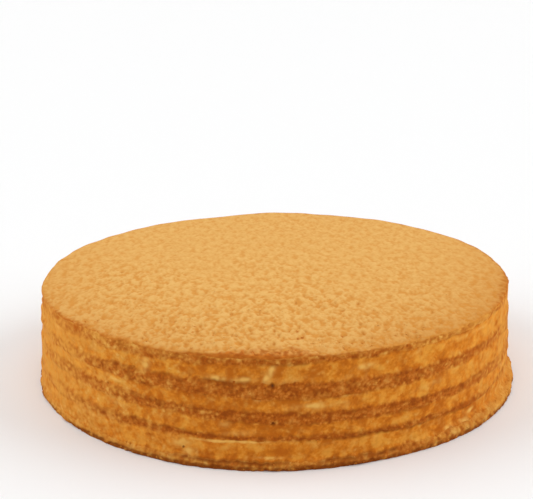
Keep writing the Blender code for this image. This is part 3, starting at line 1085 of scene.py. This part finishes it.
class Shades:
    """Short ways to join the nodes of one material.

    A source that is a name stands for the value of that name that the mesh's points carry.
    """

    def __init__(self, name):
        self.material = bpy.data.materials.new(name)
        self.material.use_nodes = True
        self.tree = self.material.node_tree

    def join(self, source, socket):
        """Links an output to a socket, or sets the socket to a plain value."""
        if isinstance(source, str):
            source = self.add("Attribute", {}, attribute_name=source).outputs["Fac"]
        if isinstance(source, bpy.types.NodeSocket):
            self.tree.links.new(source, socket)
        else:
            socket.default_value = (*source, 1.0) if socket.type == "RGBA" else source

    def set_inputs(self, node, inputs):
        for key, source in inputs.items():
            self.join(source, node.inputs[key])

    def add(self, kind, inputs, **settings):
        """A new node with these inputs and settings."""
        node = self.tree.nodes.new("ShaderNode" + kind)
        for key, setting in settings.items():
            setattr(node, key, setting)
        self.set_inputs(node, inputs)
        return node

    def texture(self, size, detail=2.0, shift=0.0):
        """Noise of a given size, mostly within TEXTURE_SPAN."""
        place = self.add("TexCoord", {}).outputs["Object"]
        scale = [1 / length for length in DRAWN_OUT]
        mapping = {"Vector": place, "Scale": scale, "Location": [shift] * 3}
        place = self.add("Mapping", mapping).outputs["Vector"]
        inputs = {"Vector": place, "Scale": 1 / size, "Detail": detail}
        return self.add("TexNoise", inputs).outputs["Fac"]

    def ramp(self, source, stops):
        """Colours along a value: pairs of the value and the colour there."""
        node = self.add("ValToRGB", {"Fac": source})
        elements = node.color_ramp.elements
        while len(elements) < len(stops):
            elements.new(0.5)
        for element, (position, colour) in zip(elements, stops):
            element.position = position
            element.color = (*colour, 1.0)
        return node.outputs["Color"]

    def math(self, operation, first, second):
        return self.add("Math", {0: first, 1: second}, operation=operation).outputs["Value"]

    def mix(self, share, first, second):
        """Two colours blended: none of the second at a share of 0."""
        inputs = {"Factor": share, 6: first, 7: second}
        return self.add("Mix", inputs, data_type="RGBA").outputs[2]

    def bumps(self, height, depth):
        return self.add("Bump", {"Height": height, "Distance": depth}).outputs["Normal"]

    def finish(self, colour, roughness, specular, **more):
        """Sets the inputs of the material's own shader."""
        inputs = {"Base Color": colour, "Roughness": roughness, "Specular IOR Level": specular}
        self.set_inputs(self.tree.nodes["Principled BSDF"], {**inputs, **more})
        return self.material


def uneven_tone(shades, size, swing):
    """The grains' own tones, made uneven within each grain, and more so where it is rough."""
    inputs = {"Value": shades.texture(size), "To Min": -swing, "To Max": swing}
    inputs["From Min"], inputs["From Max"] = TEXTURE_SPAN
    uneven = shades.add("MapRange", inputs, interpolation_type="SMOOTHSTEP").outputs["Result"]
    return shades.math("ADD", "tone", shades.math("MULTIPLY", uneven, "rough"))


def crumb_material():
    """Fine golden crumbs, and browner ones where the edge is bare."""
    shades = Shades("golden_crumbs")
    tone = uneven_tone(shades, *CRUMB_UNEVEN)
    crumbs = shades.mix("rim_darkening", shades.ramp(tone, CRUMB_RAMP), CRUMB_RIM_DARKER)
    # Orange painted shade in hollows and pits
    crumbs = shades.mix(shades.math("MULTIPLY", "hollow_shade", TOP_HOLLOW), crumbs, CRUMB_HOLLOW_SHADE)
    edge = shades.ramp(tone, RIM_RAMP)
    edge = shades.mix("cover", edge, shades.ramp(tone, SIDE_RAMP))
    colour = shades.mix("bare", crumbs, edge)
    bumps = shades.bumps(shades.texture(BUMP_SIZE), CRUMB_BUMP)
    return shades.finish(colour, CRUMB_ROUGHNESS, SPECULAR, Normal=bumps)


def side_material(name):
    """Honey sponge and golden cream, blended as the mesh says, with crumbs over them."""
    shades = Shades(name)
    tone = uneven_tone(shades, *SIDE_UNEVEN)
    mottle = shades.texture(MOTTLE_SIZE, MOTTLE_DETAIL, shift=1.0)
    mottle = shades.math("ADD", mottle, shades.math("MULTIPLY", tone, MOTTLE_BY_TONE))
    mottle = shades.math("SUBTRACT", mottle, shades.math("MULTIPLY", "ripe", MOTTLE_BY_RIPE))
    cream = shades.ramp(mottle, CREAM_RAMP)
    colour = shades.mix("cream", shades.ramp(tone, HONEY_RAMP), cream)
    colour = shades.mix("cover", colour, shades.ramp(tone, SIDE_RAMP))
    # Painted shade in hollows and pits, in dark honey's colour
    colour = shades.mix(shades.math("MULTIPLY", "hollow_shade", SIDE_HOLLOW), colour, HONEY_DARK)
    colour = shades.mix("pale", colour, BARE_CREAM)
    # Painted shade of open seams, holes and the foot's contact shadow
    colour = shades.mix("dark", colour, shades.ramp("dark", SHADE_RAMP))
    height = shades.math("MULTIPLY", shades.texture(BUMP_SIZE, SIDE_BUMP_DETAIL), "rough")
    bumps = shades.bumps(height, SIDE_BUMP)
    return shades.finish(colour, SIDE_ROUGHNESS, SPECULAR, Normal=bumps)


# The studio


def add_floor():
    mesh = bpy.data.meshes.new("floor")
    signs = ((-1, -1), (1, -1), (1, 1), (-1, 1))
    corners = [(x * FLOOR_REACH, y * FLOOR_REACH, -FLOOR_GAP) for x, y in signs]
    mesh.from_pydata(corners, [], [(0, 1, 2, 3)])
    material = Shades("floor").finish(FLOOR_COLOUR, FLOOR_ROUGHNESS, FLOOR_SPECULAR)
    mesh.materials.append(material)
    floor = add_object("floor", mesh)


def add_lights():
    world = bpy.data.worlds.new("studio")
    world.use_nodes = True
    background = world.node_tree.nodes["Background"]
    background.inputs["Strength"].default_value = WORLD_LIGHT
    background.inputs["Color"].default_value = (1, 1, 1, 1)
    bpy.context.scene.world = world
    for name, azimuth, elevation, light, softness in SUNS:
        lamp = bpy.data.lights.new(name, "SUN")
        lamp.energy = light
        lamp.angle = math.radians(softness)
        tilt = math.radians(90 - elevation)
        add_object(name, lamp).rotation_euler = (tilt, 0.0, math.radians(azimuth))


def add_camera():
    camera = bpy.data.cameras.new("camera")
    camera.sensor_width = SENSOR_WIDTH
    camera.lens = FOCAL_LENGTH / PHOTO_WIDTH * SENSOR_WIDTH
    camera.clip_start = CLIP_START
    camera.clip_end = 2 * FLOOR_REACH
    holder = add_object("camera", camera)
    heading = Matrix.Rotation(-CAMERA_TO_RIGHT, 4, "Z")
    pitch = Matrix.Rotation(math.pi / 2 - CAMERA_DOWN, 4, "X")
    roll = Matrix.Rotation(CAMERA_ROLL, 4, "Z")
    holder.matrix_world = Matrix.Translation(CAMERA_PLACE) @ heading @ pitch @ roll
    bpy.context.scene.camera = holder


def make_cake():
    honey = side_material("honey_sponge")
    cream = side_material("cream_filling")
    crumb = crumb_material()
    profile = side_profile()
    low = Border(*np.zeros((3, COLUMNS)))
    grounds = []
    for name, high in zip(LAYERS, upper_borders()):
        material = honey if name.startswith("honey") else cream
        grounds.append(make_layer(name, low, high, profile, material))
        low = high
    side = joined(grounds)
    chances = side_chances(side)
    for name, amount in SIDE_CRUMBS.items():
        scatter(name, side, chances, amount, SIDE_LIFT, SIDE_FOOT_SHADE, honey)
    top = make_coat(grounds[-1].points[-COLUMNS:], crumb)
    chances = top_chances(top)
    for name, amount in TOP_CRUMBS.items():
        scatter(name, top, chances, amount, TOP_LIFT, TOP_FOOT_SHADE, crumb)


add_camera()
add_floor()
add_lights()
make_cake()
bpy.context.scene.view_settings.view_transform = "Standard"
